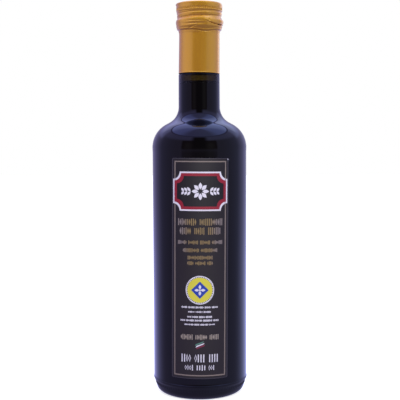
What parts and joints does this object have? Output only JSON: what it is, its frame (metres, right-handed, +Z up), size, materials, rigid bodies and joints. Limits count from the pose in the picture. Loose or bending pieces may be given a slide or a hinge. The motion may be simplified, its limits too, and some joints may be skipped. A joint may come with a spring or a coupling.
{
  "type": "vinegar bottle",
  "caption": "Tall round dark glass bottle of vinegar with a rounded shoulder and a slim neck, shut by a long gold aluminium screw cap, with a narrow paper label on its front.",
  "frame": {"origin": "on the bottle's axis, in the plane of the bearing ring that it stands on", "axes": "+Z up along the bottle's axis; the label faces -Y"},
  "size_m": [0.0664, 0.0664, 0.2725],
  "materials": {
    "dark_glass": "glossy moulded glass, near black",
    "vinegar": "dark brown liquid",
    "gold_aluminium": "satin gold lacquer",
    "label_paper": "coated paper, printed dark"
  },
  "bodies": {
    "root": {"bottle_glass": "dark_glass", "vinegar": "vinegar", "screw_cap": "gold_aluminium", "front_label": "label_paper"}
  },
  "joints": []
}
